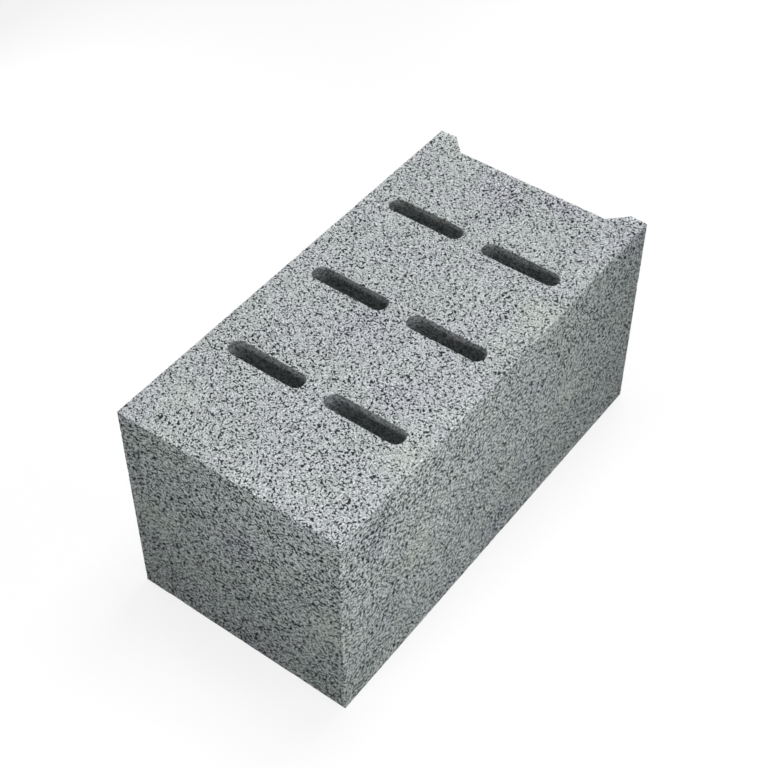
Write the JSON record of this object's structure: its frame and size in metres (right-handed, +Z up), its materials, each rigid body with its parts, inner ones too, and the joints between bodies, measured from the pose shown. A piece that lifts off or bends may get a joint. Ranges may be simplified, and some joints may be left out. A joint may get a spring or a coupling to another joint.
{
  "type": "concrete block",
  "caption": "Rectangular light-weight concrete wall block with blind slots in its top face and a mortar groove down one end.",
  "frame": {"origin": "middle of the bottom face, on the surface that the block lies on", "axes": "+Z up out of the top face that the slots open in, +Y along the length towards the grooved end, +X across the width"},
  "size_m": [0.2, 0.4, 0.2],
  "materials": {
    "concrete": "rough, fine-grained light-weight concrete with open pores"
  },
  "bodies": {
    "root": {"block": "concrete"}
  },
  "joints": []
}
